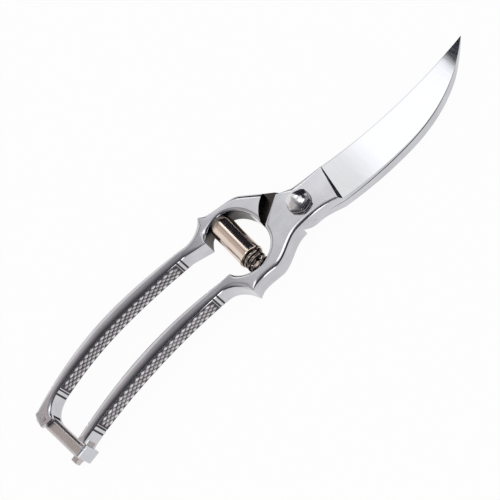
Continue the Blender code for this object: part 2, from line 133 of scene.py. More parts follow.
def newRing(name, points):  # a circle primitive with its points moved onto an outline, in mm
    obj = newShape(name, bpy.ops.mesh.primitive_circle_add, vertices=len(points), fill_type="NOTHING")
    for vertex, place in zip(obj.data.vertices, points):
        vertex.co = Vector((*place, 0.0)[:3]) * mm
    return obj


def newPlate(name, outline, low, high):  # filled and extruded upwards, in mm
    obj = newRing(name, [(x, y, low) for x, y in outline])
    openMesh(obj, "EDGE")
    bpy.ops.mesh.select_all(action="SELECT")
    bpy.ops.mesh.edge_face_add()
    bpy.ops.mesh.extrude_region_move(TRANSFORM_OT_translate={"value": (0.0, 0.0, (high - low) * mm)})
    closeMesh()
    mergeAndFace(obj)
    return obj


def newTurned(name, profile, steps=64, closed=False):  # (radius, height) pairs in mm, spun about Z
    obj = newRing(name, [(r, 0.0, z) for r, z in profile])
    if not closed:
        ends = {tuple(obj.data.vertices[i].co) for i in (0, -1)}
        selectEdges(obj, lambda a, b: {tuple(a), tuple(b)} == ends)
        bpy.ops.mesh.delete(type="EDGE")
        closeMesh()
    openMesh(obj, "VERT")
    bpy.ops.mesh.select_all(action="SELECT")
    bpy.ops.mesh.spin(steps=steps, angle=2 * math.pi, center=(0.0, 0.0, 0.0), axis=(0.0, 0.0, 1.0))
    closeMesh()
    mergeAndFace(obj)
    return obj


def newRod(name, radius, low, high, place, sides=48):  # upright, in mm
    spot = Vector((*place, (low + high) / 2)) * mm
    obj = newShape(name, bpy.ops.mesh.primitive_cylinder_add, vertices=sides, radius=radius * mm,
                   depth=(high - low) * mm, location=spot)
    fixPlace(obj)
    return obj


def newBall(name, radius, place):
    obj = newShape(name, bpy.ops.mesh.primitive_uv_sphere_add, segments=64, ring_count=32, radius=radius * mm,
                   location=Vector(place) * mm)
    fixPlace(obj)
    return obj


def edgeWeights(mesh):
    name = "bevel_weight_edge"
    return (mesh.attributes.get(name) or mesh.attributes.new(name, "FLOAT", "EDGE")).data


def roundRims(obj, width, steps, shallow):  # rounds the rims of both flat faces, wider than deep
    mesh = obj.data
    for vertex in mesh.vertices:
        vertex.co.z *= shallow
    heights = [vertex.co.z for vertex in mesh.vertices]
    weights = edgeWeights(mesh)
    for edge in mesh.edges:
        a, b = [heights[i] for i in edge.vertices]
        onFlat = min(abs(a - max(heights)), abs(a - min(heights))) < hair * mm
        weights[edge.index].value = 1.0 if onFlat and abs(a - b) < hair * mm else 0.0
    applyModifier(obj, "BEVEL", limit_method="WEIGHT", width=width * mm, segments=steps, use_clamp_overlap=False)
    for vertex in mesh.vertices:
        vertex.co.z /= shallow


def softenEdges(obj, test, width, steps=3, sharp=30.0):  # rounds the sharp edges that pass the test
    mesh = obj.data
    sides = {}
    for face in mesh.polygons:
        for key in face.edge_keys:
            sides.setdefault(key, []).append(face.normal.copy())
    weights = edgeWeights(mesh)
    for edge in mesh.edges:
        a, b = [mesh.vertices[i].co / mm for i in edge.vertices]
        normals = sides.get(edge.key, [])
        corner = len(normals) == 2 and math.degrees(normals[0].angle(normals[1])) > sharp
        weights[edge.index].value = 1.0 if corner and test((a + b) / 2) else 0.0
    applyModifier(obj, "BEVEL", limit_method="WEIGHT", width=width * mm, segments=steps, use_clamp_overlap=True)


# outlines, as points in mm from the pivot axis

def polar(centre, radius, degrees):
    angle = math.radians(degrees)
    return (centre[0] + radius * math.cos(angle), centre[1] + radius * math.sin(angle))


def arc(centre, radius, start, end, step=4.0):
    count = max(2, math.ceil(abs(end - start) / step))
    return [polar(centre, radius, start + (end - start) * i / count) for i in range(count + 1)]


def bowRun(first, crest, last, count, power=2.0):  # level at the crest
    run = []
    for i in range(count + 1):
        x = first[0] + (last[0] - first[0]) * i / count
        before = (x - crest[0]) * (first[0] - crest[0]) > 0
        end = first if before else last
        share = abs((x - crest[0]) / (end[0] - crest[0])) ** (2.0 if before else power)
        run.append((x, crest[1] + (end[1] - crest[1]) * share))
    return run


def sweep(start, headings, end, count=11, reach=0.36):  # leaves and arrives at these headings in degrees
    pull = reach * math.dist(start, end)
    knots = [start, polar(start, pull, headings[0]), polar(end, -pull, headings[1]), end]
    curve = interpolate_bezier(*[Vector((*k, 0.0)) for k in knots], count + 2)
    return [(p.x, p.y) for p in curve][1:-1]


def ramp(value, start, end):  # 0 before the start, 1 after the end, smooth between
    share = min(1.0, max(0.0, (value - start) / (end - start)))
    return share * share * (3.0 - 2.0 * share)


def findCorners(points, sharp=35.0):
    corners = []
    for i, point in enumerate(points):
        before = Vector(point) - Vector(points[i - 1])
        after = Vector(points[(i + 1) % len(points)]) - Vector(point)
        if math.degrees(abs(before.angle_signed(after))) > sharp:
            corners.append(point)
    return corners


def inwardWays(points, blunt=0.6):  # where each point goes when both its edges move in by 1, held back at corners
    ways = []
    for i, point in enumerate(points):
        before = (Vector(point) - Vector(points[i - 1])).normalized()
        after = (Vector(points[(i + 1) % len(points)]) - Vector(point)).normalized()
        middle = (before + after).normalized()
        ways.append(Vector((-middle.y, middle.x)) / max(blunt, middle.dot(after)))
    return ways


def smoothRing(values, rounds=8):
    count = len(values)
    for _ in range(rounds):
        values = [(values[i - 1] + 2 * values[i] + values[(i + 1) % count]) / 4 for i in range(count)]
    return values


cornerRoom = (0.3, 0.6)  # how wide a rim may be at a sharp corner, and how fast it may widen away from it


def newForging(name, outline, rimAt, height, steps=8):  # a plate with soft rims, wider than deep
    count = len(outline)
    widths, depths, bows = [smoothRing(values) for values in zip(*[rimAt(*point) for point in outline])]
    corners = findCorners(outline)
    for i, point in enumerate(outline):
        away = min(math.dist(point, corner) for corner in corners)
        room = min(1.0, (cornerRoom[0] + cornerRoom[1] * away) / widths[i])
        widths[i], depths[i] = widths[i] * room, depths[i] * room
    ways = inwardWays(outline)
    turns = [math.pi / 2 * k / steps for k in range(steps + 1)]
    levels = [(math.sin(turn), 1.0 - math.cos(turn), 0.0, 1.0) for turn in turns]
    levels += [(out, fall, height, -1.0) for out, fall, _, _ in reversed(levels)]
    rings = []
    for out, fall, base, sign in levels:  # a bow of 1 makes the rim a shallow arch with a plain edge
        rings.append([(p[0] + way.x * w * (1.0 - out), p[1] + way.y * w * (1.0 - out),
                       base + sign * deep * (fall + (out * out - fall) * bow))
                      for p, way, w, deep, bow in zip(outline, ways, widths, depths, bows)])
    obj = newRing(name, rings[0])
    openMesh(obj, "EDGE")
    bpy.ops.mesh.select_all(action="SELECT")
    bpy.ops.mesh.edge_face_add()
    closeMesh()
    for ring, lastRing in zip(rings[1:], rings):
        bpy.ops.object.mode_set(mode="EDIT")
        bpy.ops.mesh.extrude_region_move()
        closeMesh()
        finder = KDTree(count)
        for i, place in enumerate(lastRing):
            finder.insert(Vector(place) * mm, i)
        finder.balance()
        for vertex in obj.data.vertices:
            if vertex.select:
                vertex.co = Vector(ring[finder.find(vertex.co)[1]]) * mm
    mergeAndFace(obj)
    return obj


# finishes

class Wire:  # one socket of a material, with sums written as Python
    def __init__(self, tree, socket=None):
        self.tree = tree
        self.socket = socket

    def add(self, kind, settings=None, inputs=None, output=0):
        node = self.tree.nodes.new(kind)
        for key, value in (settings or {}).items():
            if key == "stops":
                for i, (place, shade) in enumerate(value):
                    stop = node.color_ramp.elements[i] if i < 2 else node.color_ramp.elements.new(place)
                    stop.position = place
                    stop.color = (shade, shade, shade, 1.0)
            else:
                setattr(node, key, value)
        for key, value in (inputs or {}).items():
            if isinstance(value, Wire):
                self.tree.links.new(value.socket, node.inputs[key])
            else:
                node.inputs[key].default_value = value
        return Wire(self.tree, node.outputs[output])

    def math(self, operation, first, second):
        return self.add("ShaderNodeMath", {"operation": operation}, {0: first, 1: second})

    def __add__(self, other):
        return self.math("ADD", self, other)

    def __sub__(self, other):
        return self.math("SUBTRACT", self, other)

    def __rsub__(self, other):
        return self.math("SUBTRACT", other, self)

    def __mul__(self, other):
        return self.math("MULTIPLY", self, other)

    __radd__ = __add__
    __rmul__ = __mul__


def newFinish(name):  # bare metal, and the place on the piece that its marks follow
    mat = bpy.data.materials.new(name)
    mat.use_nodes = True
    shader = mat.node_tree.nodes["Principled BSDF"]
    shader.inputs["Metallic"].default_value = 1.0
    start = Wire(mat.node_tree)
    return mat, shader, start, start.add("ShaderNodeTexCoord", None, None, "Object")


def noise(start, place, scale, stretch=(1.0, 1.0, 1.0), turn=0.0, detail=3.0):
    spot = start.add("ShaderNodeMapping", None, {"Vector": place, "Scale": stretch,
                                                 "Rotation": (0.0, 0.0, math.radians(turn))})
    return start.add("ShaderNodeTexNoise", None, {"Vector": spot, "Scale": scale, "Detail": detail})


def ease(start, value, low, high):  # 0 at the low end, 1 at the high end
    return start.add("ShaderNodeMapRange", {"interpolation_type": "SMOOTHSTEP"},
                     {"Value": value, "From Min": low, "From Max": high})


def sharpen(start, value, ends):
    return start.add("ShaderNodeValToRGB", {"stops": ((ends[0], 0.0), (ends[1], 1.0))}, {"Fac": value})


def blendColour(start, mask, dark, light):
    ends = [end if isinstance(end, Wire) else (*end, 1.0) for end in (dark, light)]
    return start.add("ShaderNodeMix", {"data_type": "RGBA"}, {"Factor": mask, 6: ends[0], 7: ends[1]}, 2)


bumpStrength = 0.6


def finishWith(shader, start, colour, rough, height, depth):
    start.tree.links.new(colour.socket, shader.inputs["Base Color"])
    start.tree.links.new(rough.socket, shader.inputs["Roughness"])
    bump = start.add("ShaderNodeBump", None, {"Height": height, "Strength": bumpStrength, "Distance": depth * mm})
    start.tree.links.new(bump.socket, shader.inputs["Normal"])


forgedLook = {
    "dark": (0.51, 0.51, 0.535), "light": (0.62, 0.62, 0.65), "contrast": (0.35, 0.68), "mix": (0.6, 0.4),
    "cloud": 90.0, "lines": 260.0, "along": (0.12, 1.0, 1.0), "waves": 42.0,  # how fine each pattern is
    "rough": (0.08, 0.09), "cloudRough": 0.04, "lineDepth": 0.010, "cloudDepth": 0.005, "waveDepth": 0.30,
}


def forgedSteel():  # bright plated forging: soft clouding and faint polishing lines along the handles
    mat, shader, start, place = newFinish("forgedSteel")
    look = forgedLook
    cloud = noise(start, place, look["cloud"])
    lines = noise(start, place, look["lines"], look["along"], detail=4.0)
    mask = sharpen(start, cloud * look["mix"][0] + lines * look["mix"][1], look["contrast"])
    colour = blendColour(start, mask, look["dark"], look["light"])
    rough = look["rough"][0] + look["rough"][1] * lines + look["cloudRough"] * cloud
    wave = noise(start, place, look["waves"], detail=0.0)  # hand polishing leaves the flats a little uneven
    height = look["lineDepth"] * lines + look["cloudDepth"] * cloud + look["waveDepth"] * wave
    finishWith(shader, start, colour, rough, height, 1.0)
    return mat


bladeLook = {
    "dark": (0.86, 0.87, 0.90), "light": (0.95, 0.955, 0.97), "rough": (0.03, 0.06), "depth": 0.002,
    "lines": 700.0, "across": (1.0, 0.05, 1.0), "turn": -11.0, "cloud": 45.0,
    "spine": (0.62, 0.62, 0.65), "paintedSpineShadeWidth": 0.0008,  # colour and width of the painted shade line along the spine
    "spineCrest": (0.060, 0.0022), "spineBend": (1.80, 0.16),  # the spine's curve, in metres
}


def mirrorBlade():  # polished blade with fine grinding lines across it and a grey line of painted shade along its spine
    mat, shader, start, place = newFinish("mirrorBlade")
    look = bladeLook
    lines = noise(start, place, look["lines"], look["across"], look["turn"])
    cloud = noise(start, place, look["cloud"])
    plain = blendColour(start, 0.5 * lines + 0.5 * cloud, look["dark"], look["light"])
    # painted shade: a grey band just inside the spine's curved edge
    split = start.add("ShaderNodeSeparateXYZ", None, {"Vector": place})
    off = split - look["spineCrest"][0]
    bend = look["spineBend"][0] - look["spineBend"][1] * start.math("SIGN", off, 0.0)
    below = look["spineCrest"][1] + bend * off * off - Wire(start.tree, split.socket.node.outputs["Y"])
    colour = blendColour(start, ease(start, below, look["paintedSpineShadeWidth"], 0.0), plain, look["spine"])
    finishWith(shader, start, colour, look["rough"][0] + look["rough"][1] * lines, lines, look["depth"])
    return mat


paintedShadeLook = {"dark": (0.022, 0.019, 0.018), "light": (0.085, 0.074, 0.07), "rough": (0.20, 0.20), "depth": 0.03,
             "grain": 900.0, "cloud": 200.0}


def paintedShadeSteel():  # painted shade: a near-black finish for the lap, the arch walls and the cut grooves, where shade falls
    mat, shader, start, place = newFinish("paintedShadeSteel")
    look = paintedShadeLook
    grain = noise(start, place, look["grain"], detail=4.0)
    cloud = noise(start, place, look["cloud"])
    colour = blendColour(start, 0.5 * grain + 0.5 * cloud, look["dark"], look["light"])
    finishWith(shader, start, colour, look["rough"][0] + look["rough"][1] * grain, grain, look["depth"])
    return mat


# painted shade: the near-black dark colour fills the valleys between the diamonds, where shade falls; the random wear
# patches are real
gripLook = {"dark": (0.08, 0.071, 0.08), "light": (0.74, 0.71, 0.735), "contrast": (0.10, 0.75), "wearAndHighlight": 420.0,
            "patches": (0.5, -0.25), "rough": (0.42, -0.22), "wearRough": 0.05, "depth": 0.02}


def knurledSteel():  # bright diamonds with painted shade darkening the grooves between them
    mat, shader, start, place = newFinish("knurledSteel")
    look = gripLook
    reliefAndPaintedShade = start.add("ShaderNodeAttribute", {"attribute_name": "reliefAndPaintedShade"}, None, "Fac")
    wearAndHighlight = noise(start, place, look["wearAndHighlight"])
    mask = sharpen(start, reliefAndPaintedShade + look["patches"][0] * wearAndHighlight + look["patches"][1], look["contrast"])
    colour = blendColour(start, mask, look["dark"], look["light"])
    rough = look["rough"][0] + look["rough"][1] * reliefAndPaintedShade + look["wearRough"] * wearAndHighlight
    finishWith(shader, start, colour, rough, wearAndHighlight, look["depth"])
    return mat


sleeveLook = {"dark": (0.66, 0.55, 0.47), "light": (0.80, 0.69, 0.61), "rough": (0.09, 0.10), "depth": 0.004,
              "draw": 500.0, "along": (1.0, 0.06, 1.0), "stain": 160.0,
              "paintedEndShadow": (0.07, 0.05, 0.04), "paintedEndShadowSpan": (0.0195, 0.0245), "ragged": 0.006}


def warmNickel():  # drawn tube with faint marks along it, with painted shadow darkening its closed end under the arch
    mat, shader, start, place = newFinish("warmNickel")
    look = sleeveLook
    draw = noise(start, place, look["draw"], look["along"])
    stain = noise(start, place, look["stain"], detail=5.0)
    plain = blendColour(start, 0.5 * draw + 0.5 * stain, look["dark"], look["light"])
    # painted shadow: the closed end turns dark brown where it lies in shade under the arch
    along = start.add("ShaderNodeSeparateXYZ", None, {"Vector": place}, "Y")
    mask = ease(start, along + look["ragged"] * (stain - 0.5), *look["paintedEndShadowSpan"])
    colour = blendColour(start, mask, plain, look["paintedEndShadow"])
    finishWith(shader, start, colour, look["rough"][0] + look["rough"][1] * stain, draw, look["depth"])
    return mat


wireLook = {"dark": (0.03, 0.025, 0.025), "light": (0.55, 0.48, 0.43), "contrast": (0.36, 0.62),
            "stain": 300.0, "fine": 1800.0, "rough": (0.14, 0.12), "depth": 0.006}


def springWire():  # drawn wire, stained in patches
    mat, shader, start, place = newFinish("springWire")
    look = wireLook
    mask = sharpen(start, noise(start, place, look["stain"], detail=5.0), look["contrast"])
    fine = noise(start, place, look["fine"])
    colour = blendColour(start, mask, look["dark"], look["light"])
    finishWith(shader, start, colour, look["rough"][0] + look["rough"][1] * fine, fine, look["depth"])
    return mat


satinLook = {"rough": (0.24, 0.14), "depth": 0.010, "brush": 600.0, "along": (0.07, 1.0, 1.0), "turn": -8.0,
             "cloud": 140.0, "mix": (0.4, 0.6)}
latchColours = ((0.47, 0.435, 0.425), (0.61, 0.565, 0.555))
# painted light: the catch's brighter, cooler colours stand in for the light on its outward face
paintedLightCatchColours = ((0.53, 0.54, 0.57), (0.65, 0.66, 0.69))


def satinSteel(name, dark, light):  # brushed across the latch's length
    mat, shader, start, place = newFinish(name)
    look = satinLook
    brush = noise(start, place, look["brush"], look["along"], look["turn"])
    cloud = noise(start, place, look["cloud"])
    colour = blendColour(start, look["mix"][0] * brush + look["mix"][1] * cloud, dark, light)
    finishWith(shader, start, colour, look["rough"][0] + look["rough"][1] * brush, brush, look["depth"])
    return mat


turnedLook = {"rings": 5200.0, "ringShade": 0.08, "stain": 240.0, "stainRough": 0.10, "depth": 0.006}


def turnedSteel(name, dark, light, rough, centre=(0.0, 0.0, 0.0)):  # lathe rings about an upright axis
    mat, shader, start, place = newFinish(name)
    look = turnedLook
    spot = start.add("ShaderNodeVectorMath", {"operation": "SUBTRACT"}, {0: place, 1: centre})
    flat = start.add("ShaderNodeVectorMath", {"operation": "MULTIPLY"}, {0: spot, 1: (1.0, 1.0, 0.0)})
    radius = start.add("ShaderNodeVectorMath", {"operation": "LENGTH"}, {0: flat}, "Value")
    rings = start.add("ShaderNodeMath", {"operation": "SINE"}, {0: radius * look["rings"]})
    stain = noise(start, place, look["stain"])
    colour = blendColour(start, stain + look["ringShade"] * rings, dark, light)
    finishWith(shader, start, colour, rough + look["stainRough"] * stain, rings, look["depth"])
    return mat


forging = forgedSteel()
blade = mirrorBlade()
# scale holds the painted-shade finish: near-black colour standing in for the shade in the lap, on the step and arch
# walls and in the grooves
scale = paintedShadeSteel()
print("finishes: forging, blade and scale")


# the two levers

bothLevers = {  # lengths in mm, turns in degrees
    "height": 10.0, "strap": 4.8, "swell": 1.7, "rootX": -50.0,
    "rim": 1.2, "endRim": 2.4, "headRim": 2.5, "archRim": 1.7, "archEndRim": 3.6, "bladeRim": 0.03, "tipRim": 0.02,
    "gripRun": 10.0, "archReach": 2.0, "archTop": (0.5, 18.0), "archEndRun": (36.0, 39.0),  # where rims change
    "endRun": (125.0, 138.0), "headRun": (-58.0, -46.0), "bladeRun": (4.0, 22.0), "tipRun": (50.0, 95.0),
    "endLine": (18.6, 0.45, 2.0),  # height, slope and drop of the line that the upper handle's inner end lies below
    "shallow": 1.9, "gripShallow": 3.4,  # how much wider than deep a rim is
    "crown": 0.47,  # share of the strap's width that each rim of the grip is rounded by
    "sink": 0.1, "sinkRun": 2.5,  # how far the strap is waisted under its knurling
    "lapGap": 0.3, "lapSplitX": 3.0, "pivotBody": 9.2, "bodyPlay": 0.3, "step": 19.4, "stop": 185.5, "stopPlay": 1.5,
    "shoulderX": -7.0, "springX": -31.6, "springZ": 6.3, "lowerArch": (4.6, 13.4), "upperArch": (13.6, 12.0),
    "bore": 4.0, "nutSeat": (6.9, 2.5), "tip": (102.8, 5.2), "rearTip": (101.7, 4.5),
    "bellyCrest": (45.0, -15.5), "bellyRoot": (14.0, -13.0), "bellyPower": 2.4,
    "ricassoX": 18.0, "ricassoTurn": 11.0, "ricassoSlope": 0.85, "ricassoTall": 20.0,
    "strapPoints": 60, "bellyPoints": 48, "spinePoints": 40,
}
lowerLook = {
    "crest": (-82.0, 2.3), "rootY": -0.2, "end": (-140.2, -6.3), "endStrap": 3.8, "knurl": (-57.0, -130.5),
    "horn": (-41.3, -15.8), "hip": (-26.0, -15.4), "waist": (-8.0, -9.0), "neck": (-4.7, 11.8),
    "archTurn": (-4.0, -155.0), "rootTurn": (-5.0, -68.0), "hornTurn": (24.0, -2.0), "hipTurn": (8.0, 0.0),
    "waistTurn": (2.0, -20.0),
    "brow": (-17.4, 4.9), "spineCrest": (60.0, 2.2), "spineRoot": (2.0, 8.8), "spineThick": 4.2,
    "grind": (-0.040, 0.092), "ricassoRim": 0.5, "ricassoSpan": (8.0, 24.0),
    "shoulderRim": 1.8, "shoulderSpot": (0.5, -8.5), "notch": (2.5, 3.2), "tail": 0.9, "footSeat": (8.3, -1.1),
}
upperLook = {
    "crest": (-92.0, 30.7), "rootY": 26.9, "endStrap": 3.6, "knurl": (-58.0, -134.0), "gripEnd": (1.0, 16.0),
    "horn": (-36.7, 32.9), "crown": (-29.0, 30.0), "limbTop": (-15.5, 25.1), "limbFoot": (-4.5, 13.8),
    "limbTurn": (131.0, 164.0), "crownTurn": (169.0, 143.0), "hornTurn": (227.0, 175.0), "filletTurn": (82.0, 14.0),
    "archTurn": (150.0, 35.0), "archEndTurn": (-55.0, -93.0), "sideTurn": (0.0, -29.0), "bodyTurn": 265.0,
    "bellyTurn": (-2.0, -19.0), "stepRim": 1.5, "stepReach": 0.4, "shelfZ": 1.0,
    "shelf": ((-15.5, 25.1), (-16.0, 15.0), (-10.0, 5.0), (2.0, 6.5), (-4.0, 16.4), (-8.5, 20.8)),
    "edgeDrop": 1.8, "bellyDrop": 0.2, "spineThick": 4.1, "grind": (-0.010, 0.085),
    "edgeThick": 0.6, "edgeGrind": (0.0, 0.350), "sleeveSeat": (6.1, 20.8),
    "knuckle": 6.4, "knuckleCorner": (1.4, 2.4), "knuckleRise": 2.2, "knuckleDrop": 2.5,
    "knuckleSlant": 1.0, "fillet": 8.0,
}
latchLook = {
    "pin": (-147.4, 14.0), "pinRadius": 1.6, "pinFit": 0.04, "play": 0.3, "lean": 8.0, "lockTurn": 7.0,
    "pinTop": ((0.0, 10.1), (0.8, 10.07), (1.4, 10.0)), "pinSide": (9.9, 0.1),
    "pinFoot": ((1.4, 0.0), (0.8, 0.0), (0.0, 0.0)),
    "openTurn": 80.0, "swingPlay": 1.5, "width": 6.2, "thick": 5.4, "rim": 2.0, "shallow": 1.25, "wall": 0.2,
    "catchGap": 0.6, "catchThick": 2.0, "catchRight": 4.4, "catchLeft": 2.0, "catchRim": 0.5, "catchRidge": 1.85,
    "rimSteps": 5, "ridgeSteps": 8, "pinSteel": ((0.42, 0.40, 0.40), (0.56, 0.54, 0.54), 0.22),
    "lugReach": 5.5, "lugLength": 3.7, "lugHeight": 3.6, "lugRim": 0.6,
}
knurlLook = {
    "pitch": 3.7, "rows": 3, "tall": 8.4, "blank": 1.0, "under": 0.05,  # under: base below the plain strap's side
    "valley": 0.34, "rise": 0.26, "topRim": 0.58, "topRise": 0.26,
    "smooth": 70.0, "groove": 0.45, "grooveOut": 0.02, "grooveGaps": (0.7, 2.9), "grooveSides": 16,
    "wearAndHighlight": (1.6, 2.6), "dull": 0.62,  # how far from the middle the diamonds get a painted highlight, brighter than the middle ones
}


def strapWidth(share, endStrap):
    strap = bothLevers["strap"]
    return strap + (endStrap - strap) * share + bothLevers["swell"] * math.sin(math.pi * share)


def strapLines(edge, look):  # both edges and the middle line of a handle strap, waisted under its knurling
    near, far, middle = [], [], []
    start, end = look["knurl"]
    for i, point in enumerate(edge):
        before = Vector(edge[max(i - 1, 0)])
        after = Vector(edge[min(i + 1, len(edge) - 1)])
        along = (after - before).normalized()
        width = strapWidth(i / (len(edge) - 1), look["endStrap"])
        run = bothLevers["sinkRun"]
        sink = bothLevers["sink"] * ramp(-point[0], -start - run, -start) * ramp(point[0], end - run, end)
        for line, shift in ((near, sink), (far, width - sink), (middle, width / 2)):
            line.append((point[0] - along.y * shift, point[1] + along.x * shift))
    return near, far[::-1], middle


def lowerStrap():
    look = lowerLook
    edge = bowRun((bothLevers["rootX"], look["rootY"]), look["crest"], look["end"], bothLevers["strapPoints"])
    return strapLines(edge, look)


def upperEnd():
    pin = latchLook["pin"]
    corner = (pin[0] - latchLook["width"] / 2 - latchLook["wall"], pin[1] + upperLook["knuckleRise"])
    rise = upperLook["knuckleCorner"]
    return corner, (corner[0] + rise[0], corner[1] + rise[1])


def upperStrap():
    look = upperLook
    edge = bowRun((bothLevers["rootX"], look["rootY"]), look["crest"], upperEnd()[1], bothLevers["strapPoints"])
    return strapLines(edge, look)


def bellyRun(tip, drop):
    both = bothLevers
    crest = (both["bellyCrest"][0], both["bellyCrest"][1] - drop)
    return bowRun(both["bellyRoot"], crest, tip, both["bellyPoints"], both["bellyPower"])[:-1]


def spineRun(tip, drop):  # the lower lever's spine, or the upper lever's edge below it
    crest, root = [(x, y - drop) for x, y in (lowerLook["spineCrest"], lowerLook["spineRoot"])]
    return bowRun(tip, crest, root, bothLevers["spinePoints"])


def lowerOutline():
    look = lowerLook
    spine = spineRun(bothLevers["tip"], 0.0)
    archY, archRadius = bothLevers["lowerArch"]
    arch = arc((bothLevers["springX"], archY), archRadius, *look["archTurn"])
    inner, outer, _ = lowerStrap()
    tail = (Vector(inner[-1]) - Vector(inner[-2])).normalized() * look["tail"]
    inner[-1] = tuple(Vector(inner[-1]) + tail)
    outer = [tuple(Vector(outer[0]) + tail), *outer[1:-1]]
    handle = [*inner, *outer, *sweep(outer[-1], look["rootTurn"], look["horn"]), look["horn"]]
    hip = [*sweep(look["horn"], look["hornTurn"], look["hip"]), look["hip"]]
    waist = [*sweep(look["hip"], look["hipTurn"], look["waist"]), look["waist"]]
    root = sweep(look["waist"], look["waistTurn"], bothLevers["bellyRoot"])
    return [*spine, look["neck"], look["brow"], *arch, *handle, *hip, *waist, *root,
            *bellyRun(bothLevers["tip"], 0.0)]


def upperOutline():
    look, both = upperLook, bothLevers
    edge = spineRun(both["rearTip"], look["edgeDrop"])
    crown = [*sweep(look["limbTop"], look["limbTurn"], look["crown"]), look["crown"]]
    horn = [*sweep(look["crown"], look["crownTurn"], look["horn"]), look["horn"]]
    corner = upperEnd()[0]
    foot = (corner[0], latchLook["pin"][1] - look["knuckleDrop"])
    heel = (corner[0] + look["knuckle"], foot[1] - look["knuckleSlant"])
    outer, inner, _ = upperStrap()
    inner = [p for p in inner if p[0] > heel[0] + look["fillet"]][:-1]
    handle = [*sweep(look["horn"], look["hornTurn"], outer[0]), *outer, corner, foot, heel]
    fillet = sweep(heel, look["filletTurn"], inner[0])
    arch = arc((both["springX"], both["upperArch"][0]), both["upperArch"][1], *look["archTurn"])
    side = arc((both["springX"], both["lowerArch"][0]), both["lowerArch"][1], *look["sideTurn"])
    limb = [*arch, *sweep(arch[-1], look["archEndTurn"], side[0]), *side]
    body = arc((0.0, 0.0), both["pivotBody"], both["stop"], look["bodyTurn"])
    root = sweep(body[-1], look["bellyTurn"], both["bellyRoot"])
    return [*edge, look["limbFoot"], look["limbTop"], *crown, *horn, *handle, *fillet, *inner, *limb, *body,
            *root, *bellyRun(both["rearTip"], look["bellyDrop"])]


def archDistances(x, y):  # from the walls of the lower and the upper arch round the spring
    return [abs(math.dist((x, y), (bothLevers["springX"], archY)) - radius)
            for archY, radius in (bothLevers["lowerArch"], bothLevers["upperArch"])]


def rimAt(endStrap, endX, gripEnd=None):  # how far a rim is rounded: most on the grip, least on the blade
    both = bothLevers
    root = both["rootX"]

    def rim(x, y):
        share = min(1.0, max(0.0, (root - x) / (root - endX)))
        crown = both["crown"] * (strapWidth(share, endStrap) - 2 * both["sink"])
        grip = ramp(-x, -root, -root + both["gripRun"])
        if gripEnd:
            grip *= ramp(x, endX + gripEnd[0], endX + gripEnd[1])
        arches = archDistances(x, y)
        onArch = min(arches) < both["archReach"] and root < x < both["shoulderX"]
        head = both["archRim"] if onArch else both["headRim"]
        if arches[1] < both["archTop"][0] and y > both["archTop"][1]:
            head += (both["archEndRim"] - head) * ramp(-x, *both["archEndRun"])
        endY, slope, away = both["endLine"]
        inside = gripEnd and y < endY + slope * (x - endX) - away
        end = both["endRim"] if inside else both["rim"]
        plain = both["rim"] + (end - both["rim"]) * ramp(-x, *both["endRun"])
        plain += (head - both["rim"]) * ramp(x, *both["headRun"])
        plain += (both["bladeRim"] - both["headRim"]) * ramp(x, *both["bladeRun"])
        plain += (both["tipRim"] - both["bladeRim"]) * ramp(x, *both["tipRun"])
        width = plain + (crown - plain) * grip
        return width, width / (both["shallow"] + (both["gripShallow"] - both["shallow"]) * grip), grip
    return rim


def cutGrind(lever, grind, place, upward):  # a sloping plane with a sloping run-out at the ricasso
    tall, far = bothLevers["ricassoTall"], 2 * bothLevers["tip"][0]
    profile = [(0.0, 0.0), (far, 0.0), (far, tall), (-tall * bothLevers["ricassoSlope"], tall)]
    slab = newPlate("grind", profile, -far / 4, far / 4)
    turn = math.radians(bothLevers["ricassoTurn"])
    slope = Matrix.Rotation(turn, 2) @ Vector(grind)
    stand = math.pi / 2 if upward else -math.pi / 2
    slab.rotation_euler = (stand + math.atan(slope.y), -math.atan(slope.x), -turn)
    slab.location = Vector(place) * mm
    fixPlace(slab)
    joinCut(lever, slab)


def cutGrooves(lever, middle, look):  # two narrow lines across each side at both ends of the knurling
    grooves, height = [], bothLevers["height"]
    for knurlX, outward in ((look["knurl"][0], 1.0), (look["knurl"][1], -1.0)):
        for gap in knurlLook["grooveGaps"]:
            x = knurlX + outward * gap
            i = min(range(1, len(middle) - 1), key=lambda k: abs(middle[k][0] - x))
            along = Vector(middle[i + 1]) - Vector(middle[i - 1])
            turn = math.atan2(along.y, along.x)
            width = strapWidth(i / (len(middle) - 1), look["endStrap"])
            for side in (-1.0, 1.0):
                shift = Matrix.Rotation(turn, 2) @ Vector((0.0, side * (width / 2 + knurlLook["grooveOut"])))
                place = (x + shift.x, middle[i][1] + shift.y)
                grooves.append(newRod("groove", knurlLook["groove"], -height / 2, 1.5 * height, place,
                                      knurlLook["grooveSides"]))
    bpy.ops.object.select_all(action="DESELECT")
    for groove in grooves:
        groove.select_set(True)
    bpy.context.view_layer.objects.active = grooves[0]
    bpy.ops.object.join()
    # the grooves take the painted-shade finish, darkened for the shade inside them
    joinCut(lever, grooves[0], mat=scale)


def coatWith(piece, *mats):
    piece.data.materials.clear()
    for mat in mats:
        piece.data.materials.append(mat)


faceLimits = {"level": 0.99, "side": 0.9, "sloping": 0.8, "upright": 0.5, "archWall": 0.8, "stepWall": 0.3}


